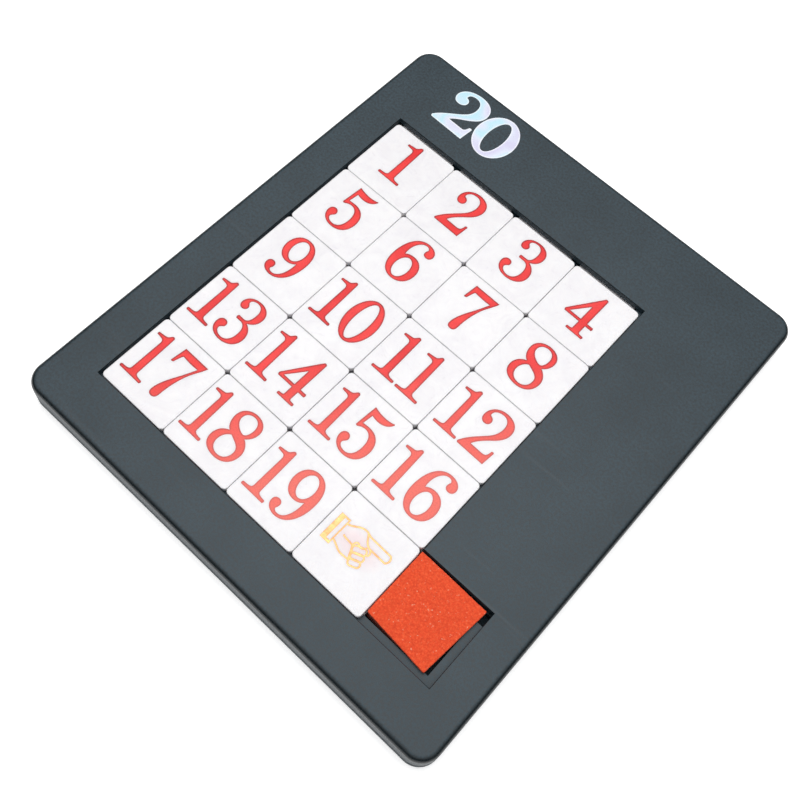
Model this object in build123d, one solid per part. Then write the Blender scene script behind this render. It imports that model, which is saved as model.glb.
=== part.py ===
from build123d import *
from build123d.topology import SkipClean
import os

# Sliding number puzzle: nineteen numbered tiles and a pointing-hand tile held in a two-shell tray
# by tongues and grooves, with a block of foam wedged in the fifth-column cell that lets them move.
# Frame: the origin is at the middle of the underside. +X runs along a row from tile 1 to tile 4,
# +Y runs from the last row to the first row and the printed 20, +Z is up. Lengths are millimetres.

COLUMNS, ROWS = 4, 5
PITCH = 18.6  # centre to centre of neighbouring tiles

# Heights
TRAY_TOP = 7.8
SHELL_SPLIT = 2.6  # parting line between the two shells
FLOOR = 1.8
TILE_TOP = 7.7
TILE_BOTTOM = 1.85
LEDGE_LOW, LEDGE_HIGH = 4.55, 6.15  # tongues of the tray
TONGUE_LOW, TONGUE_HIGH = 4.55, 5.4  # tongues of the tiles
GROOVE_LOW, GROOVE_HIGH = 4.45, 6.25

# Tray in plan
TRAY_WIDTH, TRAY_LENGTH = 113.3, 128.5
TRAY_CORNER = 4.6
TRAY_EDGE = 1.3  # rounding of the tray's upper edge
GRID_LEFT, GRID_TOP = -45.8, 40.8  # corner of tile 1's cell
WELL_LEFT, WELL_RIGHT = -46.3, 28.75
WELL_BOTTOM, WELL_TOP = -52.4, 42.05
EXIT_RIGHT, EXIT_TOP = 47.3, -33.3  # the cell to the right of the last row
EXIT_LEDGE_TOP = -36.4
WALL_EDGE = 0.12  # broken edge along the well's rim
REGISTER_INSET = 2.5  # width of the lower shell's rim round the upper shell's step
REGISTER_GAP = 0.1
PARTING_CHAMFER = 0.2
BASE_CHAMFER = 0.5

# Tongues and grooves
TONGUE = 1.8
GROOVE = 2.0
CUT_BACK = 2.1  # a tongue stops this far from the end where another tile's tongue goes by
TONGUE_END = 0.3
ROOT = 1.0  # how far a tongue's box starts inside its wall

# Tiles
TILE = 18.5
TILE_CORNER = 1.0
TILE_EDGE = 0.2
STAMP_DEPTH = 0.2  # hot-stamped numerals are sunk this far into a tile
INK = 0.15

# Numerals, drawn on a grid where the figures are 100 high
FIGURE_HEIGHT = 12.4
FIGURE_GAP = 1.3
PRINT_CENTRE = (-9.25, -5.0)  # middle of the printed sheet, which lies a little askew on the tiles
PRINT_STEP_X, PRINT_STEP_Y = 18.64, 18.8
PRINT_TILT = -0.72
HAND_SHIFT = (0.55, 0.6)
HAND_LINE = 3.2

# Numeral on the tray
MARK_HEIGHT = 13.4
MARK_CENTRE = (-31.3, 54.6)
MARK_TILT = -1.2
MARK_DEPTH = 0.15

# Foam block, hand-cut and a little askew, whose top bulges over the ledges
FOAM_TOP_CORNERS = [(28.65, -33.45), (46.2, -33.75), (44.7, -51.05), (28.65, -49.9)]
FOAM_LOW_CORNERS = [(28.65, -33.6), (45.4, -33.9), (44.4, -50.5), (28.65, -49.7)]
FOAM_TOP = 7.45
FOAM_STEP = 6.25  # the bulge starts here, just above the ledges
FOAM_CORNER = 0.3
FOAM_EDGE = 0.2

# Pegs under the upper shell, which press into sockets in the floor
PEG_RADIUS = 1.5
PEG_BOTTOM = 1.0
SOCKET_BOTTOM = 0.9
PEG_GAP = 0.05
PEGS = [(-52, -44), (-52, 4), (-52, 52), (43, -12), (43, 52), (52, -44), (-12, -58.5), (28, -58.5)]


def block(x_low, x_high, y_low, y_high, z_low, z_high):
    """Box between two corners."""
    centre = Pos((x_low + x_high) / 2, (y_low + y_high) / 2, (z_low + z_high) / 2)
    return centre * Box(x_high - x_low, y_high - y_low, z_high - z_low)


def plate(width, length, corner, z_low, z_high):
    """Plate with rounded plan corners, centred on the origin."""
    return Pos(0, 0, z_low) * extrude(RectangleRounded(width, length, corner), z_high - z_low)


def path(start, segments):
    """Edges of a drawn line: a segment is one point (a line) or three (a Bezier)."""
    edges = []
    here = start
    for segment in segments:
        kind = Line if len(segment) == 1 else Bezier
        edges.append(kind(here, *segment))
        here = segment[-1]
    return edges


def outline(start, *segments):
    """Face inside a closed line."""
    edges = path(start, segments)
    end = segments[-1][-1]
    if end != start:
        edges.append(Line(end, start))
    return make_face(Curve() + edges)


def centred(sketch, x, y, height):
    """Sketch from the 100-high grid at its real height, with the grid's point x, y at the origin."""
    size = height / 100
    return Pos(-x * size, -y * size) * scale(sketch, size)


def oval(x, y, x_radius, y_radius, tilt=0):
    return Pos(x, y) * Rot(0, 0, tilt) * Ellipse(x_radius, y_radius)


def figure_0():
    return oval(32.5, 50.5, 32, 50) - oval(32.5, 50.5, 15.5, 43)


def figure_1():
    return outline(
        (3, 1), [(51, 1)], [(54, 4), (51, 7)], [(41, 7.5), (36, 8), (35.5, 14)], [(32.5, 98)],
        [(31.5, 100.5), (29, 101)], [(24, 101), (24, 94), (18, 92.5)], [(3, 90.5)],
        [(0.5, 88), (3, 85.5)], [(13, 84.5)], [(18, 84), (19.5, 81), (19.5, 76)], [(20, 14)],
        [(20, 8), (15, 7.5), (3, 7)], [(0, 4), (3, 1)],
    )


def figure_2():
    return outline(
        (1, 4), [(3, 1)], [(60, 1)], [(62.5, 29)], [(60, 32), (57, 29)],
        [(56, 19), (54, 16.5), (47, 16)], [(22, 16)], [(24, 24), (36, 37), (46, 46)],
        [(57, 56), (62, 66), (62, 76)], [(62, 92), (50, 101), (33, 101)],
        [(15, 101), (2.5, 88), (2.5, 73)], [(2.5, 65), (7, 60), (13, 60)],
        [(19, 60), (22.5, 64), (22.5, 69)], [(22.5, 74), (19, 77), (15.5, 78)],
        [(12.5, 79), (12.5, 80), (12.5, 82)], [(13, 89), (20, 94), (30, 94)],
        [(40, 94), (45.5, 86), (45.5, 75)], [(45.5, 64), (41, 55), (33, 46)],
        [(22, 34), (8, 20), (1, 4)],
    )


def figure_3():
    return outline(
        (21, 51), [(33, 51)], [(41, 50), (45.5, 42), (45.5, 30)], [(45.5, 15), (38, 7), (28, 7)],
        [(19, 7), (13, 12), (13, 17)], [(13, 19), (14.5, 20), (16, 22)],
        [(19.5, 24), (19.5, 26), (19.5, 28)], [(19.5, 33), (16, 36), (10.5, 36)],
        [(4, 36), (0.5, 30), (0.5, 24)], [(0.5, 10), (12, 1), (29, 1)],
        [(48, 1), (61.5, 12), (61.5, 29)], [(61.5, 43), (53, 52), (43, 55.5)],
        [(53, 60), (58.5, 68), (58.5, 79)], [(58.5, 93), (47, 102), (32, 102)],
        [(16, 102), (4.5, 93), (4.5, 81)], [(4.5, 75), (8, 71), (13, 71)],
        [(19, 71), (22, 75), (22, 79)], [(22, 84), (16.5, 85), (16.5, 89)],
        [(17, 94), (23, 96.5), (29, 96.5)], [(39, 96.5), (43.5, 89), (43.5, 78)],
        [(43.5, 66), (40, 58.5), (33, 58.5)], [(21, 58.5)], [(17.5, 54.8), (21, 51)],
    )


def figure_4():
    body = outline(
        (2.5, 27), [(35.5, 27)], [(35.5, 11)], [(35.5, 7.5), (34, 7), (26, 7)],
        [(23, 4), (26, 1)], [(61, 1)], [(64, 4), (61, 7)], [(53, 7), (51, 7.5), (51, 11)],
        [(51, 27)], [(64, 27)], [(66.5, 30.5), (64, 34)], [(51, 34)], [(51, 97)],
        [(48, 101), (44.5, 98.5)], [(1, 33)], [(0, 29.5), (2.5, 27)],
    )
    return body - outline((10.5, 34), [(35.5, 34)], [(35.5, 67.5)])


def figure_5():
    return outline(
        (8, 56), [(11.5, 102)], [(22, 99), (38, 96), (54, 100.5)], [(56.5, 102.5), (57.5, 100)],
        [(54, 90), (45, 84), (32, 84)], [(27, 84), (24, 84.5), (18.5, 86)], [(16, 66)],
        [(20, 66.5), (25, 67), (30, 67)], [(50, 67), (61, 53), (61, 35)],
        [(61, 13), (48, 1), (29, 1)], [(12, 1), (0.5, 12), (0.5, 25)],
        [(0.5, 32), (5, 36), (10, 36)], [(15.5, 36), (19, 31), (19, 27)],
        [(19, 22), (13.5, 20), (13.5, 16)], [(13.5, 11), (20, 7.5), (27, 7.5)],
        [(39, 7.5), (45, 18), (45, 33)], [(45, 50), (38, 60), (27, 60)],
        [(21, 60), (17, 58), (14, 55.5)], [(10.5, 53.5), (8, 56)],
    )


def figure_6():
    body = outline(
        (19, 57), [(15, 72), (22, 96.5), (38, 96.5)], [(42, 96.5), (44.5, 94), (45, 91.5)],
        [(44, 89), (43, 87), (43, 84)], [(43, 79), (47, 76), (52, 76)],
        [(57.5, 76), (61.5, 80), (61.5, 86)], [(61.5, 96), (51, 102.5), (39, 102.5)],
        [(16, 102.5), (1, 80), (1, 44)], [(1, 17), (13, 1), (33, 1)],
        [(52, 1), (63.5, 15), (63.5, 33)], [(63.5, 51), (52, 63), (37, 63)],
        [(29, 63), (23, 61), (19, 57)],
    )
    return body - oval(33, 31, 14.7, 23.3)


def figure_7():
    return outline(
        (4, 101), [(59, 101)], [(57, 91), (46, 76), (42, 60)], [(38, 46), (35.5, 30), (35.5, 12)],
        [(35.5, 5), (32, 1), (26.5, 1)], [(20, 1), (17, 5), (17.5, 12)],
        [(18, 28), (30, 50), (36, 62)], [(40, 71), (44, 80), (47, 87)],
        [(38, 86), (24, 86), (13, 87.5)], [(11, 87), (10.5, 85), (6.5, 70)], [(3.5, 66.5), (0.5, 69)],
    )


def figure_8():
    body = outline(
        (18, 51.5), [(10, 56), (5.5, 66), (5.5, 77)], [(5.5, 92), (18, 102), (34, 102)],
        [(49, 102), (60, 93), (60, 80)], [(60, 70), (55, 62), (48.5, 57)],
        [(58, 52), (65, 43), (65, 32)], [(65, 13), (52, 1), (33, 1)],
        [(13, 1), (0.5, 10), (0.5, 26)], [(0.5, 38), (7, 47), (18, 51.5)],
    )
    upper = outline(
        (17, 81), [(17, 90), (24, 95.5), (33, 95.5)], [(43, 95.5), (48.5, 88), (48.5, 78)],
        [(48.5, 69), (45, 61), (40, 61)], [(33, 61), (17, 69), (17, 81)],
    )
    lower = outline(
        (15, 27), [(15, 36), (20, 44), (27, 47.5)], [(40, 42), (52, 40), (52, 27)],
        [(52, 15), (44, 8), (34, 8)], [(22, 8), (15, 16), (15, 27)],
    )
    return body - upper - lower


def figure_9():
    body = outline(
        (45, 49), [(46, 28), (40, 7), (25, 7)], [(20, 7), (17.5, 9), (17.5, 12)],
        [(18.5, 14), (19.5, 16), (19.5, 19)], [(19.5, 24), (16, 27), (11, 27)],
        [(5.5, 27), (2, 23), (2, 18)], [(2, 7), (12, 1), (24, 1)],
        [(46, 1), (61.5, 23), (61.5, 58)], [(61.5, 85), (49, 102), (29, 102)],
        [(12, 102), (0.5, 89), (0.5, 71)], [(0.5, 53), (11, 41), (26, 41)],
        [(34, 41), (41, 44), (45, 49)],
    )
    return body - oval(30, 71.8, 15.2, 23.2, tilt=3)


FIGURES = {
    "0": (figure_0, 65),
    "1": (figure_1, 54),
    "2": (figure_2, 63),
    "3": (figure_3, 62),
    "4": (figure_4, 66),
    "5": (figure_5, 61),
    "6": (figure_6, 64),
    "7": (figure_7, 59),
    "8": (figure_8, 65),
    "9": (figure_9, 62),
}


def numeral(text):
    """Number centred on the origin. Its curves stay separate edges, so that its volume is measured right."""
    figures = Sketch()
    reach = 0
    with SkipClean():
        for character in text:
            draw, width = FIGURES[character]
            figures += Pos(reach, 0) * draw()
            reach += width + FIGURE_GAP
    return centred(figures, (reach - FIGURE_GAP) / 2, 50, FIGURE_HEIGHT)


def stroke(start, *segments):
    """Drawn line of the pointing hand."""
    return trace(Curve() + path(start, segments), HAND_LINE)


def finger(x, y, length, thickness, tilt):
    """Curled finger, seen as a slanting loop."""
    outer = SlotOverall(length + HAND_LINE, thickness + HAND_LINE)
    inner = SlotOverall(length - HAND_LINE, thickness - HAND_LINE)
    return Pos(x, y) * Rot(0, 0, tilt) * (outer - inner)


def hand():
    """Outlined hand pointing along +X, with a banded cuff."""
    cuff = Pos(10, 31.5) * Rectangle(20, 53) - Pos(13.5, 32.5) * Rectangle(7.5, 44)
    lines = [
        stroke((19, 49.5), [(30, 51), (37, 63), (50, 63)], [(56, 63), (58, 60), (64, 60)], [(107, 59.5)],
               [(114.5, 52), (107, 44.5)], [(73, 44.5)]),
        stroke((19, 16.5), [(30, 14), (36, 7.5), (46, 7.5)], [(60, 8.5)]),
        stroke((27, 33), [(34, 30), (43, 31.5), (49, 30)], [(52, 26), (56, 18), (60, 8)]),
        stroke((49, 30), [(49, 36), (52, 41), (57, 38)], [(61, 34), (67, 36), (70, 43)]),
        stroke((55, 62), [(60, 57), (63, 47), (74, 44.5)], [(80, 43), (82, 36), (78, 33)]),
        finger(64, 31, 25, 13, 22),
        finger(68.5, 21, 23, 12, 22),
        finger(71.5, 10.5, 21, 11.5, 22),
    ]
    drawn = cuff
    for line in lines:
        drawn += line
    return centred(drawn, 57.5, 31, FIGURE_HEIGHT)


def mark_2():
    return outline(
        (0, 5), [(0, 3)], [(1, 0.5), (3, 0.5)], [(73, 0.5)], [(75, 30)], [(72.5, 32.5), (69, 30)],
        [(66, 20), (64, 19), (58, 19)], [(29, 19)], [(38, 31), (52, 37), (61, 45)],
        [(71, 53), (76, 61), (76, 71)], [(76, 89), (62, 100), (42, 100)],
        [(18, 100), (2, 88), (2, 73)], [(2, 64), (8, 58), (16, 58)],
        [(25, 58), (30, 63), (30, 69)], [(30, 75), (26, 78), (20, 79)],
        [(19, 86), (25, 90.5), (34, 90.5)], [(46, 90.5), (52, 82), (52, 69)],
        [(52, 56), (44, 48), (34, 39)], [(20, 27), (8, 19), (0, 5)],
    )


def mark_0():
    return oval(116.5, 50, 40.5, 50) - oval(116.5, 50, 17, 40)


def tray_mark():
    """The number of tiles, in wide figures, beside the well's upper left corner."""
    with SkipClean():
        drawn = mark_2() + mark_0()
    return centred(drawn, 78.5, 50, MARK_HEIGHT)


def well():
    """Space for the tiles, through both its walls."""
    main = block(WELL_LEFT, WELL_RIGHT, WELL_BOTTOM, WELL_TOP, 0, TRAY_TOP)
    return main + block(WELL_RIGHT - ROOT, EXIT_RIGHT, WELL_BOTTOM, EXIT_TOP, 0, TRAY_TOP)


def wall_ledges():
    """Ledges on the lower and right walls, which run in the grooves of the tiles beside them."""
    lower = block(WELL_LEFT, EXIT_RIGHT, WELL_BOTTOM - ROOT, WELL_BOTTOM + TONGUE, LEDGE_LOW, LEDGE_HIGH)
    right = block(
        WELL_RIGHT - TONGUE, WELL_RIGHT + ROOT, EXIT_TOP + GROOVE + 0.2, WELL_TOP, LEDGE_LOW, LEDGE_HIGH
    )
    far = block(
        EXIT_RIGHT - TONGUE, EXIT_RIGHT + ROOT, WELL_BOTTOM, EXIT_LEDGE_TOP, LEDGE_LOW, LEDGE_HIGH
    )
    return lower + right + far


def wall_grooves():
    """Slots in the left and upper walls, which take the tongues of the tiles beside them."""
    left = block(
        WELL_LEFT - GROOVE, WELL_LEFT + ROOT, WELL_BOTTOM + GROOVE, WELL_TOP + GROOVE, GROOVE_LOW, GROOVE_HIGH
    )
    upper = block(
        WELL_LEFT - GROOVE, WELL_RIGHT, WELL_TOP - ROOT, WELL_TOP + GROOVE, GROOVE_LOW, GROOVE_HIGH
    )
    exit_upper = block(
        WELL_RIGHT - ROOT, EXIT_RIGHT, EXIT_TOP - ROOT, EXIT_TOP + GROOVE, GROOVE_LOW, GROOVE_HIGH
    )
    return left + upper + exit_upper


def pegs(radius, bottom):
    return [Pos(x, y, (FLOOR + bottom) / 2) * Cylinder(radius, FLOOR - bottom) for x, y in PEGS]


def top_frame():
    """Upper shell: rim, stepped underside with pegs, well, tongues, grooves and the mark's recess."""
    shell = plate(TRAY_WIDTH, TRAY_LENGTH, TRAY_CORNER, SHELL_SPLIT, TRAY_TOP)
    shell = fillet(shell.faces().sort_by(Axis.Z)[-1].edges(), TRAY_EDGE)
    shell = chamfer(shell.faces().sort_by(Axis.Z)[0].edges(), PARTING_CHAMFER)
    inset = 2 * (REGISTER_INSET + REGISTER_GAP)
    shell += plate(
        TRAY_WIDTH - inset, TRAY_LENGTH - inset, TRAY_CORNER - REGISTER_INSET, FLOOR, SHELL_SPLIT
    )
    shell -= well()
    shell = chamfer(shell.faces().sort_by(Axis.Z)[-1].inner_wires()[0].edges(), WALL_EDGE)
    shell = shell - wall_grooves() + wall_ledges()
    return shell + pegs(PEG_RADIUS, PEG_BOTTOM) - mark_solid()


def base_cover():
    """Lower shell: flat floor with peg sockets, and a rim round the upper shell's step."""
    shell = plate(TRAY_WIDTH, TRAY_LENGTH, TRAY_CORNER, 0, SHELL_SPLIT)
    shell = chamfer(shell.faces().sort_by(Axis.Z)[0].edges(), BASE_CHAMFER)
    shell = chamfer(shell.faces().sort_by(Axis.Z)[-1].edges(), PARTING_CHAMFER)
    inset = 2 * REGISTER_INSET
    shell -= plate(
        TRAY_WIDTH - inset, TRAY_LENGTH - inset, TRAY_CORNER - REGISTER_INSET, FLOOR, SHELL_SPLIT
    )
    return shell - pegs(PEG_RADIUS + PEG_GAP, SOCKET_BOTTOM)


def mark_solid():
    """Foil of the number on the tray, flush with the rim's upper face."""
    x, y = MARK_CENTRE
    place = Pos(x, y, TRAY_TOP - MARK_DEPTH) * Rot(0, 0, MARK_TILT)
    return place * extrude(tray_mark(), MARK_DEPTH, clean=False)


def tile_blank():
    """Unprinted tile centred on the Z axis: tongues on its upper and left sides, grooves on the others."""
    half = TILE / 2
    body = Pos(0, 0, TILE_BOTTOM) * extrude(RectangleRounded(TILE, TILE, TILE_CORNER), TILE_TOP - TILE_BOTTOM)
    body = fillet(body.faces().sort_by(Axis.Z)[-1].edges(), TILE_EDGE)
    body += block(-half + TONGUE_END, half - CUT_BACK, half - ROOT, half + TONGUE, TONGUE_LOW, TONGUE_HIGH)
    body += block(-half - TONGUE, -half + ROOT, -half + CUT_BACK, half - TONGUE_END, TONGUE_LOW, TONGUE_HIGH)
    body -= block(-half, half, -half, -half + GROOVE, GROOVE_LOW, GROOVE_HIGH)
    return body - block(half - GROOVE, half, -half, half, GROOVE_LOW, GROOVE_HIGH)


def cell_centre(column, row):
    return Pos(GRID_LEFT + (column + 0.5) * PITCH, GRID_TOP - (row + 0.5) * PITCH, 0)


def print_place(column, row):
    """Where the printed sheet puts the middle of a tile's numeral."""
    x = (column - (COLUMNS - 1) / 2) * PRINT_STEP_X
    y = ((ROWS - 1) / 2 - row) * PRINT_STEP_Y
    return Pos(*PRINT_CENTRE, 0) * Rot(0, 0, PRINT_TILT) * Pos(x, y, 0)


def stamp(sketch, place, thickness):
    """Sketch as a solid that starts at the bottom of the stamped recess."""
    return place * Pos(0, 0, TILE_TOP - STAMP_DEPTH) * extrude(sketch, thickness, clean=False)


def write(shape, node, color):
    shape.color = Color(*color)
    export_step(shape, f"parts/{node}.step")


def write_tile(node, mark_node, column, row, sketch, place, mark_color):
    """One tile with its stamped recess, and the ink or foil that fills it."""
    tile = cell_centre(column, row) * tile_blank() - stamp(sketch, place, STAMP_DEPTH)
    write(tile, node, (0.93, 0.92, 0.91))
    write(stamp(sketch, place, INK), mark_node, mark_color)


def foam_layer(corners, z_low, z_high):
    layer = extrude(make_face(Polyline(*corners, close=True)), z_high - z_low)
    return Pos(0, 0, z_low) * fillet(layer.edges().filter_by(Axis.Z), FOAM_CORNER)


def foam_block():
    """Foam that fills the empty cell: clear of the ledges below, and bulging over them on top."""
    bulge = foam_layer(FOAM_TOP_CORNERS, FOAM_STEP, FOAM_TOP)
    bulge = fillet(bulge.faces().sort_by(Axis.Z)[-1].edges(), FOAM_EDGE)
    return foam_layer(FOAM_LOW_CORNERS, TILE_BOTTOM, FOAM_STEP) + bulge


def main():
    os.makedirs("parts", exist_ok=True)
    write(top_frame(), "top_frame", (0.07, 0.09, 0.10))
    write(base_cover(), "base_cover", (0.07, 0.09, 0.10))
    write(mark_solid(), "frame_numeral", (0.80, 0.88, 0.90))
    for number in range(1, COLUMNS * ROWS):
        row, column = divmod(number - 1, COLUMNS)
        write_tile(
            f"tile_{number:02}", f"numeral_{number:02}", column, row,
            numeral(str(number)), print_place(column, row), (0.80, 0.09, 0.08),
        )
    last = (COLUMNS - 1, ROWS - 1)
    write_tile(
        "tile_hand", "hand_mark", *last, hand(), Pos(*HAND_SHIFT, 0) * print_place(*last), (0.85, 0.62, 0.30)
    )
    write(foam_block(), "foam_block", (0.85, 0.20, 0.08))


main()
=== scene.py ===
"""Looks of the sliding tile puzzle: materials, the foam block, camera, light and floor."""

import math

import bpy
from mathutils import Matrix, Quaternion, Vector, noise


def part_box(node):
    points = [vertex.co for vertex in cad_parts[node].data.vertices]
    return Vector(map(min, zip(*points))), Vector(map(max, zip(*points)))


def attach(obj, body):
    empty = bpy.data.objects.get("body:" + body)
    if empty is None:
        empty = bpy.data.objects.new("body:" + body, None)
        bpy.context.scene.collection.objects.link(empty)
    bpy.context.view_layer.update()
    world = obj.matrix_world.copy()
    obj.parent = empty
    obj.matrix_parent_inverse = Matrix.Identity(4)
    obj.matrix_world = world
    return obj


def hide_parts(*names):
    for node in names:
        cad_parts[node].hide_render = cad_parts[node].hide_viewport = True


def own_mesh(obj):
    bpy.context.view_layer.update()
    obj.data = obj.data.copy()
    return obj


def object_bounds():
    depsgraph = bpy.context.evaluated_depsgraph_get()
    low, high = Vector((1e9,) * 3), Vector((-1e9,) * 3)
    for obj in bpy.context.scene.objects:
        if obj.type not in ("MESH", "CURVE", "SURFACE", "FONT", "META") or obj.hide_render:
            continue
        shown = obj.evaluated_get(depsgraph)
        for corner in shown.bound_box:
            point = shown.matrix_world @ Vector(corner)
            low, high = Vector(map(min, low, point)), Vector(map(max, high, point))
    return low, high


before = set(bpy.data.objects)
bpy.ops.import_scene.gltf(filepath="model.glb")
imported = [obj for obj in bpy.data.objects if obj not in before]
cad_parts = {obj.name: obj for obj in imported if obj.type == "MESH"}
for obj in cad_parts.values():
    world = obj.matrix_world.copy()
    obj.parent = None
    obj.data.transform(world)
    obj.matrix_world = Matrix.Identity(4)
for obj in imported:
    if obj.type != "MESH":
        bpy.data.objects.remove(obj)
CAD_LOW, CAD_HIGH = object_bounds()

MM = 0.001

# The camera stands low on the right and looks across the tray with a small roll.
CAMERA_AT = Vector((53.8, -92.8, 228.3)) * MM
CAMERA_AIM = Vector((-9.1, 7.7, 7.8)) * MM
CAMERA_ROLL = math.radians(11.2)
CAMERA_LENS = 50.5
CAMERA_SHIFT = (-0.025, -0.122)

# Soft studio light: a panel and a pale ceiling overhead, a dim horizon and a light table.
CEILING_LIGHT = 0.98
HORIZON_LIGHT = 0.04
HORIZON_RISE = (0.48, 0.78)  # sines of the elevations where the dim horizon ends and the ceiling begins
BACKDROP_LIGHT = 1.0
PANEL_AT = Vector((-0.10, 0.14, 0.78))
PANEL_SIZE = 0.6
PANEL_POWER = 3.5
TABLE_LIGHT = 0.50
FLOOR_SIZE = 6.0
FLOOR_DROP = 0.02 * MM  # keeps the floor from flickering through the underside

# Foam
FOAM_VOXEL = 0.22 * MM
FOAM_CELL = 0.55 * MM
CUT_WAVE, CUT_DEPTH = 5 * MM, 0.06 * MM
PORE_DEPTH = 0.08 * MM
FUZZ_SIZE, FUZZ_DEPTH = 0.35 * MM, 0.05 * MM
CORNER_SAG = 0.30 * MM

# The red carries no painted sheen up to the middle of one tile. From the middle of the other tile on, it
# carries its full painted sheen, a paler red standing in for glare.
SHEEN_START_TILE = "tile_11"
SHEEN_FULL_TILE = "tile_16"


def middle_of(low, high):
    return (low + high) / 2


class Surface:
    """A node material. Sizes are in metres, in the coordinates of the object that wears it."""

    def __init__(self, name, values):
        self.material = bpy.data.materials.new(name)
        self.material.use_nodes = True
        self.nodes = self.material.node_tree.nodes
        self.links = self.material.node_tree.links
        self.shader = self.nodes["Principled BSDF"]
        self.place = self.nodes.new("ShaderNodeTexCoord").outputs["Object"]
        for socket, value in values.items():
            self.shader.inputs[socket].default_value = value

    def node(self, kind, inputs, **settings):
        made = self.nodes.new("ShaderNode" + kind)
        for key, value in settings.items():
            setattr(made, key, value)
        for socket, value in inputs.items():
            if isinstance(value, bpy.types.NodeSocket):
                self.links.new(value, made.inputs[socket])
            else:
                made.inputs[socket].default_value = value
        return made

    def stretched(self, stretch, turn):
        """Coordinates that stretch a pattern, after a turn about Z."""
        made = self.node("Mapping", {"Vector": self.place, "Scale": stretch, "Rotation": (0, 0, turn)})
        return made.outputs["Vector"]

    def noise(self, size, detail=2.0, rough=0.5, distortion=0.0, place=None):
        inputs = {
            "Vector": place or self.place,
            "Scale": 1 / size,
            "Detail": detail,
            "Roughness": rough,
            "Distortion": distortion,
        }
        return self.node("TexNoise", inputs).outputs["Fac"]

    def cells(self, size):
        inputs = {"Vector": self.place, "Scale": 1 / size}
        return self.node("TexVoronoi", inputs).outputs["Distance"]

    def ramp(self, value, stops):
        """Colours or greys along a value: stops are (position, colour)."""
        made = self.node("ValToRGB", {"Fac": value})
        elements = made.color_ramp.elements
        while len(elements) < len(stops):
            elements.new(1.0)
        for element, (position, colour) in zip(elements, stops):
            element.position = position
            element.color = (*colour, 1.0)
        return made.outputs["Color"]

    def greys(self, value, low, high, start=0.3, end=0.7):
        """A value spread from low to high."""
        inputs = {"Value": value, "From Min": start, "From Max": end, "To Min": low, "To Max": high}
        return self.node("MapRange", inputs).outputs["Result"]

    def mix(self, first, second, share, blend="MIX"):
        made = self.nodes.new("ShaderNodeMix")
        made.data_type = "RGBA"
        made.blend_type = blend
        sockets = {s.identifier: s for s in made.inputs}
        for key, value in (("Factor_Float", share), ("A_Color", first), ("B_Color", second)):
            if isinstance(value, bpy.types.NodeSocket):
                self.links.new(value, sockets[key])
            else:
                sockets[key].default_value = value if key == "Factor_Float" else (*value, 1.0)
        return next(s for s in made.outputs if s.identifier == "Result_Color")

    def bump(self, height, depth, strength, under=None):
        inputs = {"Height": height, "Distance": depth, "Strength": strength}
        if under is not None:
            inputs["Normal"] = under
        return self.node("Bump", inputs).outputs["Normal"]

    def near(self, node):
        """1 over the middle of a node's box, falling to 0 at an ellipse round it."""
        low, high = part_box(node)
        middle, half = middle_of(low, high), (high - low) / 2
        inputs = {"Vector": self.place, "Location": -middle}
        moved = self.node("Mapping", inputs, vector_type="POINT").outputs["Vector"]
        scale = (1 / half.x, 1 / half.y, 0)
        spread = self.node("VectorMath", {0: moved, 1: scale}, operation="MULTIPLY").outputs["Vector"]
        away = self.node("VectorMath", {0: spread}, operation="LENGTH").outputs["Value"]
        return self.greys(away, 1.0, 0.0, start=0.45, end=1.0)

    def along(self, start, end):
        """0 at one point of the object and 1 at another, level across."""
        way = end - start
        inputs = {"Vector": self.place, "Location": -start}
        moved = self.node("Mapping", inputs, vector_type="POINT").outputs["Vector"]
        reach = self.node("VectorMath", {0: moved, 1: way / way.length_squared}, operation="DOT_PRODUCT")
        return self.greys(reach.outputs["Value"], 0.0, 1.0, start=0.0, end=1.0)

    def rounding(self):
        """1 on the rounded upper edge, where the surface turns from level to upright, and 0 elsewhere."""
        turned = self.nodes.new("ShaderNodeTexCoord").outputs["Normal"]
        level = self.node("SeparateXYZ", {"Vector": turned}).outputs["Z"]
        from_top = self.greys(level, 1.0, 0.0, start=0.90, end=0.99)
        from_side = self.greys(level, 0.0, 1.0, start=0.04, end=0.20)
        return self.node("Math", {0: from_top, 1: from_side}, operation="MULTIPLY").outputs["Value"]

    def edges(self, reach):
        """1 beside the piece's sharp edges, falling to 0 within the reach."""
        rounded = self.node("Bevel", {"Radius": reach}, samples=6).outputs["Normal"]
        flat = self.node("NewGeometry", {}).outputs["True Normal"]
        along = self.node("VectorMath", {0: rounded, 1: flat}, operation="DOT_PRODUCT").outputs["Value"]
        return self.greys(along, 1.0, 0.0, start=0.90, end=0.99)

    def wear(self, socket, value):
        """Links a value to one of the shader's sockets."""
        self.links.new(value, self.shader.inputs[socket])


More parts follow.
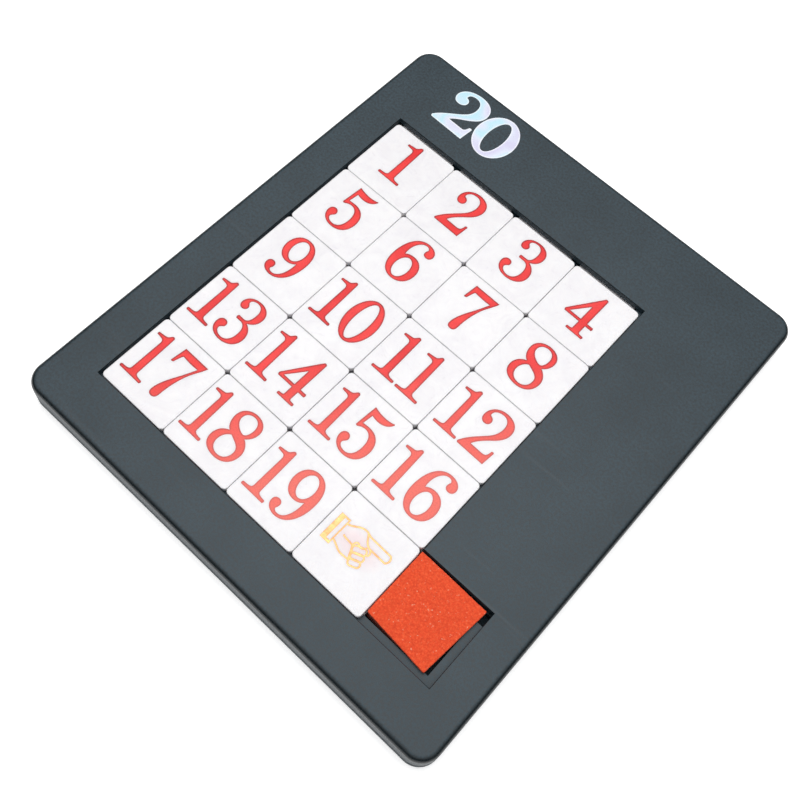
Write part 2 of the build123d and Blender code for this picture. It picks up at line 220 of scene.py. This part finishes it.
def tray_plastic(name="tray_plastic", shine=0.42):
    """Dark slate moulded plastic with a fine matte texture and faint scuffs."""
    look = Surface(name, {"Specular IOR Level": shine, "IOR": 1.49})
    clouds = look.noise(14 * MM, detail=3.0)
    speckle = look.noise(0.6 * MM, detail=3.0, rough=0.7)
    base = look.ramp(clouds, [(0.35, (0.015, 0.030, 0.040)), (0.65, (0.020, 0.038, 0.050))])
    flecks = look.ramp(speckle, [(0.38, (0.58, 0.58, 0.58)), (0.62, (1.42, 1.42, 1.42))])
    base = look.mix(base, flecks, 1.0, "MULTIPLY")
    rounding = look.rounding()
    # Painted shade: the rounded upper edge, picked out by its surface direction, is darkened almost to
    # black in its base colour.
    look.wear("Base Color", look.mix(base, (0.008, 0.013, 0.016), rounding))
    scuffs = look.noise(1.0, detail=4.0, place=look.stretched((26, 420, 60), math.radians(24)))
    matte = look.greys(speckle, 0.42, 0.56)
    scuffed = look.greys(scuffs, 0.0, 0.06, start=0.64, end=0.74)
    rough = look.node("Math", {0: matte, 1: scuffed}, operation="SUBTRACT").outputs["Value"]
    polished = look.greys(rounding, 0.0, 0.22, start=0.0, end=1.0)
    rough = look.node("Math", {0: rough, 1: polished}, operation="SUBTRACT").outputs["Value"]
    look.wear("Roughness", rough)
    grain = look.bump(look.noise(0.28 * MM, detail=2.0), 0.03 * MM, 0.5)
    look.wear("Normal", look.bump(look.noise(5 * MM, detail=2.0), 0.03 * MM, 0.6, grain))
    return look.material


def tile_plastic(name="tile_plastic", blush=None):
    """White moulded plastic with faint marble clouds.

    Blush is a printed node that tints the plastic inside it.
    """
    look = Surface(
        name,
        {
            "Subsurface Weight": 0.45,
            "Subsurface Radius": (1.0, 0.95, 0.92),
            "Subsurface Scale": 1.0 * MM,
            "Specular IOR Level": 0.5,
        },
    )
    marble = look.noise(11 * MM, detail=5.0, rough=0.6, distortion=1.6)
    veins = look.noise(4 * MM, detail=4.0, rough=0.65, distortion=2.4)
    base = look.ramp(marble, [(0.36, (0.82, 0.805, 0.825)), (0.62, (0.87, 0.86, 0.87))])
    shade = look.ramp(veins, [(0.42, (0.975, 0.97, 0.98)), (0.54, (1.0, 1.0, 1.0))])
    base = look.mix(base, shade, 1.0, "MULTIPLY")
    if blush:
        base = look.mix(base, (1.0, 0.87, 0.87), look.near(blush), "MULTIPLY")
    look.wear("Base Color", base)
    look.wear("Roughness", look.greys(veins, 0.26, 0.36))
    grain = look.bump(look.noise(0.5 * MM, detail=2.0), 0.004 * MM, 0.6)
    look.wear("Normal", look.bump(look.noise(6 * MM, detail=1.0), 0.02 * MM, 0.5, grain))
    return look.material


def red_ink():
    """Hot-stamped red, with a painted sheen that pales it towards the last tiles and painted shade along
    its recessed edges.
    """
    look = Surface("red_ink", {"Specular IOR Level": 0.25})
    patches = look.noise(7 * MM, detail=2.0)
    grain = look.noise(0.35 * MM, detail=3.0)
    base = look.ramp(patches, [(0.36, (0.79, 0.026, 0.027)), (0.66, (0.92, 0.052, 0.048))])
    # Painted sheen: the red is mixed towards a paler red from one tile to the other, standing in for
    # glare.
    sheen_share = look.along(middle_of(*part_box(SHEEN_START_TILE)), middle_of(*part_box(SHEEN_FULL_TILE)))
    base = look.mix(base, (0.88, 0.155, 0.120), sheen_share)
    thin = look.ramp(grain, [(0.34, (0.92, 0.92, 0.92)), (0.60, (1.04, 1.04, 1.04))])
    base = look.mix(base, thin, 1.0, "MULTIPLY")
    # Painted shade: the red darkens along its recessed edges, and less so where the painted sheen lies.
    edge_shade = look.mix((0.10, 0.010, 0.016), (0.54, 0.110, 0.100), sheen_share)
    look.wear("Base Color", look.mix(base, edge_shade, look.edges(0.60 * MM)))
    look.wear("Roughness", look.greys(grain, 0.30, 0.44))
    look.wear("Normal", look.bump(grain, 0.012 * MM, 0.6))
    return look.material


def gold_foil():
    """Thin gold foil, yellow where it lies flat and orange-brown along its edges."""
    look = Surface("gold_foil", {"Metallic": 0.3})
    patches = look.noise(1.6 * MM, detail=3.0, rough=0.6)
    flat = look.ramp(patches, [(0.36, (0.80, 0.36, 0.13)), (0.60, (0.88, 0.54, 0.20))])
    look.wear("Base Color", look.mix(flat, (0.60, 0.17, 0.07), look.edges(0.2 * MM)))
    crinkle = look.noise(0.3 * MM, detail=3.0)
    look.wear("Roughness", look.greys(crinkle, 0.28, 0.48))
    look.wear("Normal", look.bump(crinkle, 0.02 * MM, 0.7))
    return look.material


def pearl_foil():
    """Pearly foil that drifts between pale cyan and pale violet, with white edges."""
    look = Surface("pearl_foil", {"Metallic": 0.1, "Coat Weight": 0.3, "Coat Roughness": 0.25})
    drift = look.noise(9 * MM, detail=1.0, distortion=0.4)
    stops = [
        (0.34, (0.63, 0.61, 0.80)),
        (0.46, (0.70, 0.74, 0.87)),
        (0.54, (0.50, 0.77, 0.87)),
        (0.66, (0.66, 0.77, 0.87)),
    ]
    pearl = look.ramp(drift, stops)
    look.wear("Base Color", look.mix(pearl, (0.95, 0.97, 1.0), look.edges(0.6 * MM)))
    crinkle = look.noise(0.4 * MM, detail=2.0)
    look.wear("Roughness", look.greys(crinkle, 0.26, 0.40))
    look.wear("Normal", look.bump(crinkle, 0.008 * MM, 0.6))
    return look.material


def cut_foam():
    """Bright orange-red foam with open cells and small pale painted glints."""
    look = Surface("foam", {"Sheen Weight": 0.1, "Sheen Roughness": 0.6, "Specular IOR Level": 0.15})
    cells = look.cells(FOAM_CELL)
    grain = look.noise(0.36 * MM, detail=3.0, rough=0.75)
    stops = [
        (0.34, (0.73, 0.062, 0.018)),
        (0.50, (0.83, 0.082, 0.024)),
        (0.66, (0.91, 0.130, 0.046)),
    ]
    base = look.ramp(grain, stops)
    hollow = look.ramp(cells, [(0.10, (1.05, 1.05, 1.05)), (0.80, (0.88, 0.84, 0.82))])
    body = look.mix(base, hollow, 1.0, "MULTIPLY")
    # Painted highlights: small pale glints are mixed into the base colour.
    painted_glints = look.greys(look.noise(0.55 * MM, detail=2.0), 0.0, 0.55, start=0.66, end=0.78)
    look.wear("Base Color", look.mix(body, (1.0, 0.62, 0.42), painted_glints))
    look.wear("Roughness", look.greys(grain, 0.62, 0.95))
    pits = look.bump(cells, 0.10 * MM, 0.7)
    look.wear("Normal", look.bump(grain, 0.05 * MM, 0.6, pits))
    return look.material


def dress_nodes():
    """Gives every CAD node the finish of its slot."""
    finishes = {
        "tray_plastic": tray_plastic(),
        "cover_plastic": tray_plastic("cover_plastic", shine=0.12),
        "tile_plastic": tile_plastic(),
        "blushed_plastic": tile_plastic("blushed_plastic", blush="hand_mark"),
        "red_ink": red_ink(),
        "gold_foil": gold_foil(),
        "pearl_foil": pearl_foil(),
        "foam": cut_foam(),
    }
    for name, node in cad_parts.items():
        node.data.materials.clear()
        node.data.materials.append(finishes[finish_of(name)])
    return finishes


def finish_of(name):
    """The slot that a CAD node takes its finish from."""
    if name == "frame_numeral":
        return "pearl_foil"
    if name == "hand_mark":
        return "gold_foil"
    if name == "foam_block":
        return "foam"
    if name == "base_cover":
        return "cover_plastic"
    if name.startswith("numeral_"):
        return "red_ink"
    if name == "tile_hand":
        return "blushed_plastic"
    if name.startswith("tile_"):
        return "tile_plastic"
    return "tray_plastic"


def remeshed(name, source, voxel):
    """A copy of a CAD node's shape with small even faces."""
    rough = bpy.data.objects.new(name + "_rough", source.data.copy())
    bpy.context.scene.collection.objects.link(rough)
    remesh = rough.modifiers.new("remesh", "REMESH")
    remesh.mode = "VOXEL"
    remesh.voxel_size = voxel
    smooth = rough.modifiers.new("smooth", "SMOOTH")
    smooth.iterations = 2
    depsgraph = bpy.context.evaluated_depsgraph_get()
    mesh = bpy.data.meshes.new_from_object(rough.evaluated_get(depsgraph))
    bpy.data.objects.remove(rough)
    made = bpy.data.objects.new(name, mesh)
    bpy.context.scene.collection.objects.link(made)
    return made


def roughen(piece, low, high):
    """Cuts the foam's faces a little uneven and opens its cells, always inwards."""
    middle = middle_of(low, high)
    places = [v.co.copy() for v in piece.data.vertices]
    normals = [v.normal.copy() for v in piece.data.vertices]
    for vertex, place, normal in zip(piece.data.vertices, places, normals):
        waves = 0.5 + 0.5 * noise.noise(place / CUT_WAVE)
        pores = noise.voronoi(place / FOAM_CELL)[0][0]
        fuzz = 0.5 + 0.5 * noise.noise(place / FUZZ_SIZE)
        depth = CUT_DEPTH * waves + PORE_DEPTH * pores + FUZZ_DEPTH * fuzz
        across = (place.x - middle.x) / (high.x - low.x)
        along = (place.y - middle.y) / (high.y - low.y)
        sag = CORNER_SAG * (across**2 + along**2) * max(normal.z, 0.0)
        vertex.co = place - normal * depth - Vector((0, 0, sag))
    piece.data.update()


def foam(finish):
    """The packing foam in the empty cell, which the row of tiles squashes."""
    low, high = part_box("foam_block")
    piece = remeshed("cut_foam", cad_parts["foam_block"], FOAM_VOXEL)
    roughen(piece, low, high)
    piece.data.materials.clear()
    piece.data.materials.append(finish)
    for polygon in piece.data.polygons:
        polygon.use_smooth = True
    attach(piece, "foam")
    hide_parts("foam_block")
    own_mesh(piece)


def aimed(at, target, roll=0.0):
    """The rotation of a camera or lamp that stands at one point and looks at another."""
    turn = (target - at).to_track_quat("-Z", "Y")
    return turn @ Quaternion((0, 0, 1), roll)


def camera():
    data = bpy.data.cameras.new("camera")
    data.lens = CAMERA_LENS
    data.shift_x, data.shift_y = CAMERA_SHIFT
    data.clip_start = 10 * MM
    made = bpy.data.objects.new("camera", data)
    made.location = CAMERA_AT
    made.rotation_mode = "QUATERNION"
    made.rotation_quaternion = aimed(CAMERA_AT, CAMERA_AIM, CAMERA_ROLL)
    bpy.context.scene.collection.objects.link(made)
    bpy.context.scene.camera = made


def lamp(name, at, size, power):
    data = bpy.data.lights.new(name, "AREA")
    data.shape = "SQUARE"
    data.size = size
    data.energy = power
    made = bpy.data.objects.new(name, data)
    made.location = at
    made.rotation_mode = "QUATERNION"
    made.rotation_quaternion = aimed(at, middle_of(CAD_LOW, CAD_HIGH))
    bpy.context.scene.collection.objects.link(made)


def room():
    """Pale ceiling light that dims towards the horizon, before a white backdrop."""
    world = bpy.data.worlds.new("room")
    world.use_nodes = True
    nodes, links = world.node_tree.nodes, world.node_tree.links
    parts = nodes.new("ShaderNodeSeparateXYZ")
    links.new(nodes.new("ShaderNodeTexCoord").outputs["Generated"], parts.inputs["Vector"])
    rise = nodes.new("ShaderNodeMapRange")
    rise.interpolation_type = "SMOOTHSTEP"
    values = (*HORIZON_RISE, HORIZON_LIGHT, CEILING_LIGHT)
    for socket, value in zip(("From Min", "From Max", "To Min", "To Max"), values):
        rise.inputs[socket].default_value = value
    links.new(parts.outputs["Z"], rise.inputs["Value"])
    seen = nodes.new("ShaderNodeMix")
    links.new(nodes.new("ShaderNodeLightPath").outputs["Is Camera Ray"], seen.inputs["Factor"])
    links.new(rise.outputs["Result"], seen.inputs["A"])
    seen.inputs["B"].default_value = BACKDROP_LIGHT
    links.new(seen.outputs["Result"], nodes["Background"].inputs["Strength"])
    nodes["Background"].inputs["Color"].default_value = (1.0, 1.0, 1.0, 1.0)
    bpy.context.scene.world = world


def floor():
    """Pale light table."""
    glow = {"Roughness": 0.8, "Emission Color": (1, 1, 1, 1), "Emission Strength": TABLE_LIGHT}
    look = Surface("floor", glow)
    clouds = look.noise(0.4)
    look.wear("Base Color", look.ramp(clouds, [(0.3, (0.90, 0.90, 0.90)), (0.7, (0.93, 0.93, 0.93))]))
    mesh = bpy.data.meshes.new("floor")
    half = FLOOR_SIZE / 2
    below = CAD_LOW.z - FLOOR_DROP
    corners = [(-half, -half, below), (half, -half, below), (half, half, below), (-half, half, below)]
    mesh.from_pydata(corners, [], [(0, 1, 2, 3)])
    made = bpy.data.objects.new("floor", mesh)
    made.data.materials.append(look.material)
    bpy.context.scene.collection.objects.link(made)


def colours():
    """Plain display colours, so that white stays white and red stays red."""
    bpy.context.scene.view_settings.view_transform = "Standard"
    bpy.context.scene.view_settings.look = "None"


finishes = dress_nodes()
foam(finishes["foam"])
camera()
lamp("panel", PANEL_AT, PANEL_SIZE, PANEL_POWER)
room()
floor()
colours()
